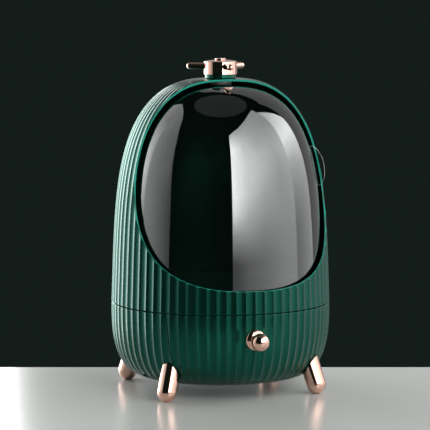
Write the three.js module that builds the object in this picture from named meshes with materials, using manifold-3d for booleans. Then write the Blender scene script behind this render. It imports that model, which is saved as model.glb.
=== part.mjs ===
// Dustproof makeup organizer: a fluted, egg-shaped shell on four splayed legs. A clear dome turns about
// the upright axis to open the cavity, and a drawer slides out of the lower housing. Millimetres, +Z up,
// front towards -Y, feet on z = 0.
import * as THREE from 'three';
import { mergeVertices } from 'three/addons/utils/BufferGeometryUtils.js';
import Module from 'manifold-3d';

const wasm = await Module();
wasm.setup();

// Clearances
const gap = 0.3;                 // between pieces that touch
const running_gap = 0.8;         // beside a piece that slides or turns
const joint_line = 0.5;          // open line between two casings
const overrun = 8;               // a cutter reaches this far past what it cuts
const weld_distance = 0.0005;    // points closer than this are one point

// Body: widest at the seam, a dome above it and a bowl below
const body_radius = 130;         // over the flutes' ridges
const seam_height = 103;
const crown_height = 368.7;
const crown_seat_radius = 20;    // flat on top of the dome
const underside_height = 15.5;
const underside_inset = 53;      // from the body's outer radius in to the flat underside
const dome_width_power = 2.2;
const dome_height_power = 4.13;
const dome_taper_share = 0.079;  // of the dome's width, lost on the way up to the crown
const bowl_power = 2.9;
const wall = 2.5;
const flute_count = 72;
const flute_depth = 1.5;

// Opening in the upper shell, seen from the side
const opening_sill_rise = 26.9;  // above the seam
const opening_setback = 27.6;    // rim's upper end, in front of the axis
const opening_width_power = 1.353;
const opening_height_power = 3.96;

// Visor dome, its finger tab and its turn
const visor_inset = 6.4;         // from the body's outer form
const visor_thickness = 2;
const visor_foot_rise = 10;      // above the seam
const visor_hub_radius = 24;     // whole disc left around the pivot
const visor_tab_edge = 80;       // degrees from the front, on the tab's side
const visor_far_edge = -82;
const tab_rim_gap = 2.9;         // to the opening's rim
const tab_drop = 104.2;          // tab's middle below the crown
const tab_half_length = 24.2;
const tab_reach = 12.3;
const tab_thickness = 2.6;

// Pivot stack on the upright axis
const pivot_radius = 3;
const spacer_radius = 13.5;
const pivot_washer_radius = 9;
const pivot_washer_thickness = 1.4;
const pivot_nut_radius = 5.8;
const pivot_nut_height = 5;
const pivot_thread_end = 2;      // thread left showing under the nut
const pivot_head_radius = 5;
const pivot_head_height = 3.5;

// Star handle on the crown
const collar_radius = 18.2;
const collar_height = 4.2;
const hub_radius = 19.5;
const hub_side_height = 15;
const hub_dome_rise = 1.8;
const hub_dome_middle_share = 0.7; // of the rise, halfway in
const hub_edge = 0.8;
const hub_recess_radius = 6;
const hub_web = 10;              // metal left under the recess
const arm_count = 3;
const arm_radius = 3.6;
const arm_tip_distance = 41;     // from the axis
const arm_drop = 5.6;            // arm's axis below the hub's shoulder
const arm_socket_depth = 4.5;
const cap_radius = 6.5;
const cap_thickness = 1.6;
const cap_stem_length = 2;

// Cavity floor with the visor's track
const deck_rise = 11;            // above the seam
const deck_thickness = 3;
const track_rise = 8;            // above the deck
const track_thickness = 2.5;
const brim_thickness = 2;

// Screws that hold the casings together
const screw_radius = 1.5;
const screw_head_radius = 2.8;
const screw_head_height = 2;
const screw_length = 12;         // under the head, into the deck
const screw_skin = 1;            // plastic left past the screw's tip
const lug_azimuths = [35, 120, 240, 325];
const post_radius = 6;
const post_inset = 23;           // post's centre, from the body's outer radius
const post_azimuths = [72, 155, 205, 288];
const post_drop = 11;            // post's top below the seam
const post_web = 6;              // plastic between a screw's head and the post's top
const post_bore_radius = 3.6;

// Drawer: a fluted front and a tub behind it. Side insets are from the middle of the front feet
const front_top_outset = 3.3;
const front_bend_height = 62;    // below this the side edges curve in
const front_bend_inset = 0.4;
const front_corner_inset = 10.2;
const front_sill_inset = 26.7;
const front_sill_height = 22;
const tub_side_inset = 19.7;
const tub_lift = 6;              // above the front's sill, clear of the opening's round corners
const tub_back_inset = 60;       // from the body's outer radius
const tub_top_drop = 13;         // below the seam
const tub_thickness = 2;
const runner_end_gap = 8;        // from a runner's end to the tub's
const runner_ledge = 9;
const runner_thickness = 2.4;
const runner_lip_height = 14;
const runner_peg_radius = 1.2;

// Drawer knob
const knob_drop = 28.6;          // knob's axis below the seam
const knob_radius = 10.5;
const knob_flange_radius = 12.2;
const knob_flange_thickness = 2.4; // at its top, where it meets the ridges
const knob_flange_skirt = 4;     // reaches back round the bowl's curve
const knob_stand = 15;           // ball's centre in front of the flange
const knob_neck_radius = 4;
const knob_socket_depth = 6;
const knob_screw_radius = 2;
const knob_screw_length = 15;
const knob_screw_head_radius = 4;
const knob_screw_head_height = 2.6;

// Legs
const leg_azimuths = [48, 132, 228, 312];
const leg_radius = 11.5;
const leg_inset = 6.6;           // foot's centre, from the body's outer radius
const leg_tilt = 19;             // degrees from upright
const leg_length = 52;
const foot_flat_depth = 0.6;
const leg_screw_radius = 2;
const leg_screw_length = 21;     // under the head
const leg_screw_head_radius = 4;
const leg_screw_head_height = 2.6;
const leg_boss_radius = 7;
const leg_boss_seat = 34;        // along the leg from the foot's centre

// Facets
const flute_steps = 2;
const dome_steps = 8;
const dome_ease = 1.7;           // closer facets where the dome is nearly upright
const rim_ease = 1.5;
const bowl_steps = 6;
const inner_sides = 48;
const rim_steps = 10;
const round_sides = 24;
const leg_sides = 16;
const small_sides = 10;
const screw_sides = 8;
const nut_sides = 6;
const ball_steps = 8;

// Materials
const satinGreen = new THREE.MeshStandardMaterial({ color: 0x0c4a3d, roughness: 0.38, metalness: 0 });
const darkGreen = new THREE.MeshStandardMaterial({ color: 0x0a2e27, roughness: 0.55, metalness: 0 });
const smokeClear = new THREE.MeshStandardMaterial({
  color: 0x3a4140,
  roughness: 0.05,
  metalness: 0,
  transparent: true,
  opacity: 0.45,
});
const clear = new THREE.MeshStandardMaterial({
  color: 0xe8eeee,
  roughness: 0.05,
  metalness: 0,
  transparent: true,
  opacity: 0.3,
});
const roseGold = new THREE.MeshStandardMaterial({ color: 0xd99a86, roughness: 0.12, metalness: 1 });
const steel = new THREE.MeshStandardMaterial({ color: 0x9a9c9c, roughness: 0.3, metalness: 1 });
const greyNylon = new THREE.MeshStandardMaterial({ color: 0x7d8280, roughness: 0.5, metalness: 0 });

// Solids

// A closed geometry as a solid: shared points are welded and flat triangles dropped.
function solid(geometry) {
  const bare = new THREE.BufferGeometry();
  bare.setAttribute('position', geometry.attributes.position.clone());
  if (geometry.index) bare.setIndex(geometry.index.clone());
  const welded = mergeVertices(bare, weld_distance);
  const corners = welded.index.array;
  const kept = [];
  for (let i = 0; i < corners.length; i += 3) {
    const [a, b, c] = [corners[i], corners[i + 1], corners[i + 2]];
    if (a !== b && b !== c && c !== a) kept.push(a, b, c);
  }
  return new wasm.Manifold(new wasm.Mesh({
    numProp: 3,
    vertProperties: new Float32Array(welded.attributes.position.array),
    triVerts: new Uint32Array(kept),
  }));
}

function join(first, ...others) {
  return others.reduce((whole, other) => whole.add(other), first);
}

function cut(first, ...tools) {
  return tools.reduce((whole, tool) => whole.subtract(tool), first);
}

function meshOf(name, body, material) {
  const mesh = body.getMesh();
  const geometry = new THREE.BufferGeometry();
  geometry.setAttribute('position', new THREE.BufferAttribute(new Float32Array(mesh.vertProperties), 3));
  geometry.setIndex(new THREE.BufferAttribute(new Uint32Array(mesh.triVerts), 1));
  geometry.computeVertexNormals();
  const result = new THREE.Mesh(geometry, material);
  result.name = name;
  return result;
}

// Profiles and basic forms

const degrees = THREE.MathUtils.degToRad;

// Quarter of a superellipse, from (width, 0) round to (0, height). Ease puts its points closer at the start.
function quadrant(width, height, width_power, height_power, steps, ease = 1) {
  const points = [];
  for (let i = 0; i <= steps; i++) {
    const turn = (i / steps) ** ease * Math.PI / 2;
    const across = i === steps ? 0 : Math.cos(turn) ** (2 / width_power);
    points.push(new THREE.Vector2(width * across, height * Math.sin(turn) ** (2 / height_power)));
  }
  return points;
}

// A profile of [radius, height] pairs, listed anticlockwise, turned about the upright axis.
function turned(pairs, sides = round_sides) {
  const points = pairs.map(([radius, height]) => new THREE.Vector2(radius, height));
  return new THREE.LatheGeometry(points, sides).rotateX(Math.PI / 2);
}

function rod(radius, bottom, top, sides = small_sides) {
  return turned([[0, bottom], [radius, bottom], [radius, top], [0, top]], sides);
}

function ring(bore, radius, bottom, top, sides = round_sides) {
  return turned([[bore, bottom], [radius, bottom], [radius, top], [bore, top], [bore, bottom]], sides);
}

function block(left, right, front, back, bottom, top) {
  const geometry = new THREE.BoxGeometry(right - left, back - front, top - bottom);
  return geometry.translate((left + right) / 2, (front + back) / 2, (bottom + top) / 2);
}

function prism(shape, depth) {
  return new THREE.ExtrudeGeometry(shape, { depth, bevelEnabled: false, curveSegments: rim_steps });
}

// Outline in (y, z), extruded along X and centred on x = 0.
function acrossX(shape, width) {
  return prism(shape, width).translate(0, 0, -width / 2).rotateX(Math.PI / 2).rotateZ(Math.PI / 2);
}

// Outline in (x, z), extruded forwards from the plane of the axis.
function forwards(shape, reach) {
  return prism(shape, reach).rotateX(Math.PI / 2);
}

// The same form at another angle from the front, measured towards +X.
function atAzimuth(geometry, azimuth) {
  return geometry.clone().rotateZ(degrees(azimuth));
}

// One solid at each of the azimuths, at the same radius from the axis.
function around(geometry, radius, azimuths) {
  return azimuths.map((azimuth) => solid(atAzimuth(geometry.clone().translate(0, -radius, 0), azimuth)));
}

// Body forms

const underside_radius = body_radius - underside_inset;

function domeProfile(inset) {
  const width = body_radius - inset - crown_seat_radius;
  const rise = crown_height - inset - seam_height;
  const curve = quadrant(width, rise, dome_width_power, dome_height_power, dome_steps, dome_ease);
  return curve.map((point) => {
    const taper = 1 - dome_taper_share * point.y / rise;
    return [crown_seat_radius + point.x * taper, seam_height + point.y];
  });
}

function bowlProfile(inset) {
  const width = body_radius - inset - underside_radius;
  const fall = seam_height - underside_height - inset;
  const curve = quadrant(width, fall, bowl_power, bowl_power, bowl_steps).reverse();
  return curve.map((point) => [underside_radius + point.x, seam_height - point.y]);
}

// Radius of a profile, listed from the bottom up, at one height.
function radiusAt(profile, height) {
  const next = profile.findIndex(([, top]) => top > height);
  const [low_radius, low] = profile[next - 1];
  const [high_radius, high] = profile[next];
  return low_radius + (high_radius - low_radius) * (height - low) / (high - low);
}

// Presses concave flutes between sharp ridges into a turned form. They shrink with its radius.
function fluted(geometry) {
  const places = geometry.attributes.position;
  const pitch = 2 * Math.PI / flute_count;
  for (let i = 0; i < places.count; i++) {
    const x = places.getX(i);
    const y = places.getY(i);
    const turn = Math.atan2(x, -y) / pitch;
    const across_share = turn - Math.floor(turn + Number.EPSILON * flute_count);
    const hollow_share = Math.max(0, 4 * across_share * (1 - across_share));
    const shrink = 1 - hollow_share * flute_depth / body_radius;
    places.setXY(i, x * shrink, y * shrink);
  }
  return geometry;
}

// Dome down to a flat bottom, on the body's form moved inwards by the inset.
function domeForm(inset, bottom, sides = inner_sides) {
  const profile = domeProfile(inset);
  const foot = bottom > seam_height ? radiusAt(profile, bottom) : body_radius - inset;
  const above = profile.filter(([, height]) => height > bottom);
  return turned([[0, bottom], [foot, bottom], ...above, [0, crown_height - inset]], sides);
}

function bowlForm(inset, top, sides = inner_sides) {
  const floor = underside_height + inset;
  return turned([[0, floor], ...bowlProfile(inset), [body_radius - inset, top], [0, top]], sides);
}

const flute_sides = flute_count * flute_steps;

// Upper shell and what turns in it

const visor_foot_height = seam_height + visor_foot_rise;
const tab_height = crown_height - tab_drop;
const deck_height = seam_height + deck_rise;
const track_top_height = deck_height + track_rise;
const visor_inner_profile = domeProfile(visor_inset + visor_thickness);
const track_radius = radiusAt(visor_inner_profile, track_top_height) - running_gap;
const brim_bottom = seam_height + gap;
const brim_top = brim_bottom + brim_thickness;
const brim_radius = radiusAt(domeProfile(wall), brim_top) - gap;
const lug_radius = (brim_radius - track_radius - gap) / 2;
const lug_circle_radius = brim_radius - lug_radius;
const lug_top = visor_foot_height - running_gap;
const lug_hole_top = lug_top - screw_skin;
const opening_width = body_radius - opening_setback;
const opening_sill_height = seam_height + opening_sill_rise;
const opening_drop = crown_height - opening_sill_height;

function openingCutter() {
  const reach = body_radius + overrun;
  const powers = [opening_width_power, opening_height_power];
  const curve = quadrant(opening_width, opening_drop, ...powers, rim_steps, rim_ease).reverse();
  const outline = new THREE.Shape();
  outline.moveTo(-reach, opening_sill_height);
  for (const point of curve) outline.lineTo(point.x - body_radius, crown_height - point.y);
  outline.lineTo(-opening_setback, crown_height + overrun);
  outline.lineTo(-reach, crown_height + overrun);
  return acrossX(outline, 2 * reach);
}

function upperShell() {
  const outer = solid(fluted(domeForm(0, seam_height + joint_line, flute_sides)));
  const inner = solid(domeForm(wall, seam_height - overrun));
  const lug = rod(lug_radius, brim_top + gap, lug_top);
  const lug_hole = rod(screw_radius + gap, brim_bottom, lug_hole_top, screw_sides);
  const lugs = around(lug, lug_circle_radius, lug_azimuths);
  const holes = around(lug_hole, lug_circle_radius, lug_azimuths);
  const webs = join(...around(lugWeb(), 0, lug_azimuths)).intersect(solid(domeForm(wall / 2, seam_height)));
  const pivot_hole = rod(pivot_radius + gap, crown_height - wall - overrun, crown_height + overrun);
  const shell = cut(outer, inner, solid(openingCutter()), solid(pivot_hole));
  return cut(join(shell, ...lugs, webs), ...holes);
}

// Web that ties a screw lug to the shell's wall.
function lugWeb() {
  return block(-lug_radius, lug_radius, -body_radius, -lug_circle_radius, brim_top + gap, lug_top);
}

// Wedge that the visor leaves open, with the disc around the pivot kept whole.
function visorGapCutter() {
  const reach = body_radius + overrun;
  const from = degrees(visor_tab_edge - 90);
  const to = degrees(visor_far_edge - 90) + 2 * Math.PI;
  const outline = new THREE.Shape();
  outline.absarc(0, 0, reach, from, to, false);
  outline.absarc(0, 0, visor_hub_radius, to, from, true);
  return prism(outline, crown_height);
}

function visorDome() {
  const outer = solid(domeForm(visor_inset, visor_foot_height));
  const inner = solid(domeForm(visor_inset + visor_thickness, visor_foot_height - overrun));
  const hole = rod(pivot_radius + gap, seam_height, crown_height);
  return cut(outer, inner, solid(visorGapCutter()), solid(hole));
}

// Angle from the front at which the opening's rim meets the shell's outer form, at one height.
function rimAzimuth(height) {
  const fall_share = Math.min(1, (crown_height - height) / opening_drop);
  const across_share = (1 - fall_share ** opening_height_power) ** (1 / opening_width_power);
  const setback = body_radius - opening_width * across_share;
  return Math.acos(setback / radiusAt(domeProfile(0), height));
}

// Where the tab rests: beside the rim, clear of it from its lowest point to its highest.
function tabAzimuth() {
  const ends = [tab_height - tab_half_length, tab_height + tab_half_length];
  const clear_angle = (tab_rim_gap + tab_thickness / 2) / radiusAt(domeProfile(0), tab_height);
  return THREE.MathUtils.radToDeg(Math.min(...ends.map(rimAzimuth)) - clear_angle);
}

// Half-disc fin that stands out of the visor, built at the front and turned to its place.
function visorTab() {
  const profile = domeProfile(visor_inset);
  const low = radiusAt(profile, tab_height - tab_half_length);
  const high = radiusAt(profile, tab_height + tab_half_length);
  const lean = Math.atan2(low - high, 2 * tab_half_length);
  const outline = new THREE.Shape();
  outline.absellipse(0, 0, tab_reach, tab_half_length, 0, 2 * Math.PI);
  const disc = acrossX(outline, tab_thickness).rotateX(-lean).translate(0, -(low + high) / 2, tab_height);
  return cut(solid(disc), solid(domeForm(visor_inset - gap, seam_height)));
}

const post_height = seam_height - post_drop;
const post_circle_radius = body_radius - post_inset;
const post_seat = post_height - post_web;
const boss_hole_top = post_seat + screw_length + screw_skin;

// Cavity floor: a raised disc, the ring that guides the visor, and a brim under the shell's lugs.
function trackDeck() {
  const inner = track_radius - track_thickness;
  const floor = deck_height - deck_thickness;
  const plate = turned([
    [0, floor],
    [inner, floor],
    [inner, brim_bottom],
    [brim_radius, brim_bottom],
    [brim_radius, brim_top],
    [track_radius, brim_top],
    [track_radius, track_top_height],
    [inner, track_top_height],
    [inner, deck_height],
    [0, deck_height],
  ], inner_sides);
  const boss = rod(post_radius, post_height + gap, deck_height - deck_thickness / 2);
  const boss_hole = rod(screw_radius + gap, post_height - overrun, boss_hole_top, screw_sides);
  const bosses = around(boss, post_circle_radius, post_azimuths);
  const boss_holes = around(boss_hole, post_circle_radius, post_azimuths);
  const lug_hole = rod(screw_radius + gap, brim_bottom - overrun, brim_top + gap, screw_sides);
  const lug_holes = around(lug_hole, lug_circle_radius, lug_azimuths);
  return cut(join(solid(plate), ...bosses), ...boss_holes, ...lug_holes);
}

// Lower housing

const leg_spread = body_radius - leg_inset;
const front_foot_x = leg_spread * Math.sin(degrees(leg_azimuths[0]));
const tub_bottom = front_sill_height + tub_lift;
const tub_top_height = seam_height - tub_top_drop;
const tub_half_width = front_foot_x - tub_side_inset;
const tub_back = body_radius - tub_back_inset;
const runner_half_length = tub_back - runner_end_gap;

// Outline of the drawer front in (x, z), drawn in by the given clearance.
function frontOutline(clearance) {
  const reach = front_foot_x - clearance;
  const sill = front_sill_height + clearance;
  const top = reach + front_top_outset;
  const bend = reach - front_bend_inset;
  const corner = reach - front_corner_inset;
  const level = front_foot_x - front_sill_inset;
  const outline = new THREE.Shape();
  outline.moveTo(level, sill);
  outline.quadraticCurveTo(corner, sill, bend, front_bend_height);
  outline.lineTo(top, seam_height);
  outline.lineTo(top, seam_height + overrun);
  outline.lineTo(-top, seam_height + overrun);
  outline.lineTo(-top, seam_height);
  outline.lineTo(-bend, front_bend_height);
  outline.quadraticCurveTo(-corner, sill, -level, sill);
  return outline;
}

function frontCutter(clearance) {
  return solid(forwards(frontOutline(clearance), body_radius + overrun));
}

function outerBowl() {
  return solid(fluted(bowlForm(0, seam_height, flute_sides)));
}

// What seats on the ridges of the bowl is cut back to this form.
function bodyEnvelope() {
  return solid(bowlForm(-gap, seam_height, flute_count));
}

// A form drawn along the leg's axis, from the foot's centre upwards, set at the front.
function onLegAxis(geometry) {
  const foot_height = leg_radius - foot_flat_depth;
  return geometry.clone().rotateX(-degrees(leg_tilt)).translate(0, -leg_spread, foot_height);
}

function baseShell() {
  const inner = solid(bowlForm(wall, seam_height + overrun));
  const post = rod(post_radius, underside_height + wall / 2, post_height);
  const post_bore = rod(post_bore_radius, underside_height - overrun, post_seat);
  const post_hole = rod(screw_radius + gap, post_seat - overrun, post_height + overrun, screw_sides);
  const posts = around(post, post_circle_radius, post_azimuths);
  const post_bores = around(post_bore, post_circle_radius, post_azimuths);
  const post_holes = around(post_hole, post_circle_radius, post_azimuths);
  const leg_boss = onLegAxis(rod(leg_boss_radius, 0, leg_boss_seat));
  const leg_hole = onLegAxis(rod(leg_screw_radius + gap, 0, leg_boss_seat + overrun, screw_sides));
  const leg_bosses = around(leg_boss, 0, leg_azimuths);
  const leg_holes = around(leg_hole, 0, leg_azimuths);
  const peg_holes = [-1, 1].flatMap((side) => runnerPegs(side, gap).map(solid));
  const fittings = join(...posts, ...leg_bosses).intersect(solid(bowlForm(wall / 2, seam_height)));
  const shell = join(cut(outerBowl(), inner), fittings);
  return cut(shell, frontCutter(0), ...post_bores, ...post_holes, ...leg_holes, ...peg_holes);
}

// L-shaped rail on the housing's floor: the tub rests on the ledge and runs inside the lip.
function drawerRunner(side) {
  const inner = side * (tub_half_width - runner_ledge);
  const lip = side * (tub_half_width + running_gap);
  const outer = lip + side * runner_thickness;
  const ledge_top = tub_bottom - gap;
  const outline = new THREE.Shape();
  outline.moveTo(inner, underside_height);
  outline.lineTo(outer, underside_height);
  outline.lineTo(outer, ledge_top + runner_lip_height);
  outline.lineTo(lip, ledge_top + runner_lip_height);
  outline.lineTo(lip, ledge_top);
  outline.lineTo(inner, ledge_top);
  const rail = forwards(outline, 2 * runner_half_length).translate(0, runner_half_length, 0);
  const seated = solid(rail).intersect(solid(bowlForm(wall + gap, seam_height)));
  return join(seated, ...runnerPegs(side, 0).map(solid));
}

// Two pegs under each rail that press into the housing's floor.
function runnerPegs(side, clearance) {
  const x = side * (tub_half_width - runner_ledge / 2);
  const bottom = underside_height + wall / 2 - clearance;
  const peg = rod(runner_peg_radius + clearance, bottom, tub_bottom - runner_thickness, screw_sides);
  return [-1, 1].map((end) => peg.clone().translate(x, end * runner_half_length / 2, 0));
}

// Drawer

const knob_height = seam_height - knob_drop;

// A form turned about z, laid to point out of the drawer front at the knob's height.
function outOfFront(geometry) {
  return geometry.rotateX(Math.PI / 2).translate(0, 0, knob_height);
}

function knobBore(tip) {
  return solid(outOfFront(rod(knob_screw_radius + gap, 0, tip, screw_sides)));
}

function drawerFront() {
  const inner = solid(bowlForm(wall, seam_height + overrun));
  const panel = cut(outerBowl(), inner).intersect(frontCutter(joint_line));
  return cut(panel, knobBore(body_radius));
}

function tubForm(inset, bottom, top) {
  const side = tub_half_width - inset;
  const box = block(-side, side, -body_radius, tub_back - inset, bottom, top);
  return solid(box).intersect(solid(bowlForm(wall + gap + inset, seam_height + overrun)));
}

function drawerTub() {
  const inner = tubForm(tub_thickness, tub_bottom + tub_thickness, tub_top_height + overrun);
  return cut(tubForm(0, tub_bottom, tub_top_height), inner, knobBore(body_radius));
}

const knob_seat = radiusAt(bowlProfile(0), knob_height + knob_flange_radius) + gap;
const knob_ball_distance = knob_seat + knob_flange_thickness + knob_stand;
const tub_inset = wall + gap + tub_thickness;
const knob_screw_seat = radiusAt(bowlProfile(tub_inset), knob_height - knob_screw_head_radius) - gap;
const knob_screw_tip = knob_screw_seat + knob_screw_length;

function knobFlange() {
  const back = knob_seat - knob_flange_skirt;
  const face = knob_seat + knob_flange_thickness;
  const edge = knob_flange_thickness / 4;
  const neck_end = knob_ball_distance - knob_radius + knob_socket_depth - gap;
  const form = turned([
    [0, back],
    [knob_flange_radius, back],
    [knob_flange_radius, face - edge],
    [knob_flange_radius - edge, face],
    [knob_neck_radius, face],
    [knob_neck_radius, neck_end],
    [0, neck_end],
  ]);
  return cut(solid(outOfFront(form)), bodyEnvelope(), knobBore(knob_screw_tip + screw_skin));
}

function knobBall() {
  const ball = new THREE.SphereGeometry(knob_radius, leg_sides, ball_steps).rotateX(Math.PI / 2);
  const back = knob_ball_distance - knob_radius;
  const socket = rod(knob_neck_radius + gap, back - overrun, back + knob_socket_depth);
  const placed = outOfFront(ball.translate(0, 0, knob_ball_distance));
  return cut(solid(placed), solid(outOfFront(socket)));
}

// Screw with its head below its seat and its tip above.
function screwForm(radius, tip, head_radius, head_height, seat) {
  return turned([
    [0, seat - head_height],
    [head_radius, seat - head_height],
    [head_radius, seat],
    [radius, seat],
    [radius, tip],
    [0, tip],
  ], screw_sides);
}

function knobScrew() {
  const head_size = [knob_screw_head_radius, knob_screw_head_height];
  return solid(outOfFront(screwForm(knob_screw_radius, knob_screw_tip, ...head_size, knob_screw_seat)));
}

// Legs

const leg_screw_seat = leg_boss_seat + gap;
const leg_screw_tip = leg_screw_seat - leg_screw_length;

function leg() {
  const curve = quadrant(leg_radius, leg_radius, 2, 2, ball_steps / 2).reverse();
  const form = turned([
    ...curve.map((point) => [point.x, -point.y]),
    [leg_radius, leg_length],
    [0, leg_length],
  ], leg_sides);
  const reach = body_radius + leg_radius + overrun;
  const table = block(-reach, reach, -reach, reach, -overrun, 0);
  const hole = rod(leg_screw_radius + gap, leg_screw_tip - screw_skin, leg_length, screw_sides);
  return cut(solid(onLegAxis(form)), solid(table), bodyEnvelope(), solid(onLegAxis(hole)));
}

function legScrew() {
  const head = leg_screw_seat + leg_screw_head_height;
  return solid(onLegAxis(turned([
    [0, leg_screw_tip],
    [leg_screw_radius, leg_screw_tip],
    [leg_screw_radius, leg_screw_seat],
    [leg_screw_head_radius, leg_screw_seat],
    [leg_screw_head_radius, head],
    [0, head],
  ], screw_sides)));
}

function casingScrew(seat, tip, circle_radius) {
  const form = screwForm(screw_radius, tip, screw_head_radius, screw_head_height, seat);
  return solid(form.translate(0, -circle_radius, 0));
}

// Pivot and star handle

const collar_bottom = crown_height + gap;
const hub_bottom = collar_bottom + collar_height + gap;
const hub_shoulder = hub_bottom + hub_side_height;
const hub_top = hub_shoulder + hub_dome_rise;
const arm_height = hub_shoulder - arm_drop;
const recess_floor = hub_bottom + hub_web;
const visor_top = crown_height - visor_inset;
const visor_underside = visor_top - visor_thickness;
const washer_bottom = visor_underside - gap - pivot_washer_thickness;
const nut_bottom = washer_bottom - gap - pivot_nut_height;

function pivotBolt() {
  const seat = recess_floor + gap;
  return solid(turned([
    [0, nut_bottom - pivot_thread_end],
    [pivot_radius, nut_bottom - pivot_thread_end],
    [pivot_radius, seat],
    [pivot_head_radius, seat],
    [pivot_head_radius, seat + pivot_head_height],
    [0, seat + pivot_head_height],
  ], small_sides));
}

function handleHub() {
  const bore = pivot_radius + gap;
  const form = turned([
    [bore, hub_bottom],
    [hub_radius - hub_edge, hub_bottom],
    [hub_radius, hub_bottom + hub_edge],
    [hub_radius, hub_shoulder - hub_edge],
    [hub_radius - hub_edge, hub_shoulder],
    [(hub_radius + hub_recess_radius) / 2, hub_shoulder + hub_dome_rise * hub_dome_middle_share],
    [hub_recess_radius, hub_top],
    [hub_recess_radius, recess_floor],
    [bore, recess_floor],
    [bore, hub_bottom],
  ]);
  const sockets = armAzimuths().map((azimuth) => solid(atAzimuth(armSocket(), azimuth)));
  return cut(solid(form), ...sockets);
}

function armAzimuths() {
  return Array.from({ length: arm_count }, (_, i) => i * 360 / arm_count);
}

// Arm forms are turned about z and then laid to point forwards.
function laidForwards(geometry) {
  return geometry.rotateX(Math.PI / 2).translate(0, 0, arm_height);
}

function armSocket() {
  const floor = hub_radius - arm_socket_depth;
  return laidForwards(rod(arm_radius + gap, floor, hub_radius + overrun, leg_sides));
}

function handleArm() {
  const root = hub_radius - arm_socket_depth + gap;
  const shoulder = arm_tip_distance - arm_radius;
  const tip = quadrant(arm_radius, arm_radius, 2, 2, ball_steps / 2);
  const form = turned([
    [0, root],
    [arm_radius, root],
    ...tip.map((point) => [point.x, shoulder + point.y]),
  ], leg_sides);
  return solid(laidForwards(form));
}

function handleCap() {
  const stem_radius = hub_recess_radius - gap;
  const seat = hub_top + gap;
  const top = seat + cap_thickness;
  const edge = cap_thickness / 2;
  return solid(turned([
    [0, seat - cap_stem_length],
    [stem_radius, seat - cap_stem_length],
    [stem_radius, seat],
    [cap_radius, seat],
    [cap_radius, top - edge],
    [cap_radius - edge, top],
    [0, top],
  ]));
}

function pivotNut() {
  const body = rod(pivot_nut_radius, nut_bottom, nut_bottom + pivot_nut_height, nut_sides);
  return cut(solid(body), solid(rod(pivot_radius + gap, nut_bottom - overrun, washer_bottom)));
}

// Assembly. The knob stands out in front, so the axis lies behind the middle of the whole.
const knob_front = knob_ball_distance + knob_radius;
const axis_setback = (knob_front - body_radius) / 2;

const organizer = new THREE.Group();
organizer.name = 'makeup_organizer';
organizer.position.y = axis_setback;

function add(name, body, material, azimuth = 0) {
  const mesh = meshOf(name, body, material);
  mesh.rotation.z = degrees(azimuth);
  organizer.add(mesh);
}

add('upper_shell', upperShell(), satinGreen);
add('visor_dome', visorDome(), smokeClear);
add('visor_tab', visorTab(), clear, tabAzimuth());
add('track_deck', trackDeck(), darkGreen);
add('base_shell', baseShell(), satinGreen);

add('drawer_front', drawerFront(), satinGreen);
add('drawer_tub', drawerTub(), darkGreen);
add('drawer_runner_left', drawerRunner(-1), greyNylon);
add('drawer_runner_right', drawerRunner(1), greyNylon);
add('knob_flange', knobFlange(), roseGold);
add('knob_ball', knobBall(), roseGold);
add('knob_screw', knobScrew(), steel);

const corner_names = ['front_right', 'back_right', 'back_left', 'front_left'];
corner_names.forEach((corner, i) => {
  add(`leg_${corner}`, leg(), roseGold, leg_azimuths[i]);
  add(`leg_screw_${corner}`, legScrew(), steel, leg_azimuths[i]);
  const shell_screw = casingScrew(brim_bottom - gap, lug_hole_top - gap, lug_circle_radius);
  add(`shell_screw_${corner}`, shell_screw, steel, lug_azimuths[i]);
  const base_screw = casingScrew(post_seat - gap, boss_hole_top - screw_skin, post_circle_radius);
  add(`base_screw_${corner}`, base_screw, steel, post_azimuths[i]);
});

const spacer_top = crown_height - wall - gap;
add('pivot_spacer', solid(ring(pivot_radius + gap, spacer_radius, visor_top + gap, spacer_top)), greyNylon);
const washer_top = washer_bottom + pivot_washer_thickness;
const washer = ring(pivot_radius + gap, pivot_washer_radius, washer_bottom, washer_top, small_sides);
add('pivot_washer', solid(washer), steel);
add('pivot_nut', pivotNut(), steel);
add('pivot_bolt', pivotBolt(), steel);

const collar_top = collar_bottom + collar_height;
add('handle_collar', solid(ring(pivot_radius + gap, collar_radius, collar_bottom, collar_top)), satinGreen);
add('handle_hub', handleHub(), roseGold);
const arm_names = ['front', 'right', 'left'];
armAzimuths().forEach((azimuth, i) => add(`handle_arm_${arm_names[i]}`, handleArm(), roseGold, azimuth));
add('handle_cap', handleCap(), roseGold);

export default organizer;
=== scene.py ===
"""Dustproof makeup organizer: fluted ABS shells, a smoke acrylic visor, a drawer and rose gold fittings.

Metres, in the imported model's frame: +Z up, front towards -Y, feet on z = 0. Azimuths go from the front
to the right, in degrees unless a function works in radians.
"""
import math

import bpy
from mathutils import Matrix, Vector
from mathutils.geometry import intersect_point_line


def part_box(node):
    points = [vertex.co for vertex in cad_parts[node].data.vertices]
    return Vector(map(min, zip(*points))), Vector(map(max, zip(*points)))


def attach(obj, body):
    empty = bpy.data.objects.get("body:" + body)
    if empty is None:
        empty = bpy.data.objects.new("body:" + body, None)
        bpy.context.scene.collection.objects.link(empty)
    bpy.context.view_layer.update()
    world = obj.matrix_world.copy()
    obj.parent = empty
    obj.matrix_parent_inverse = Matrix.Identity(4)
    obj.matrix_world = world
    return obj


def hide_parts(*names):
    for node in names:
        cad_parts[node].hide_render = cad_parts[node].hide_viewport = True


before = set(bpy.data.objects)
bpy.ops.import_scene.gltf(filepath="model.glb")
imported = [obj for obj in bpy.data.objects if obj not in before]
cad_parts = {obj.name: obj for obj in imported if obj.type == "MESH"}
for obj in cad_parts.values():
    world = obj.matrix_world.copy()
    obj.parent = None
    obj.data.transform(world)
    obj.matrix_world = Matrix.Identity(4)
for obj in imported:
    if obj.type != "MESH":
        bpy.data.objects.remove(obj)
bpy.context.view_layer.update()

mm = 0.001

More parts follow.
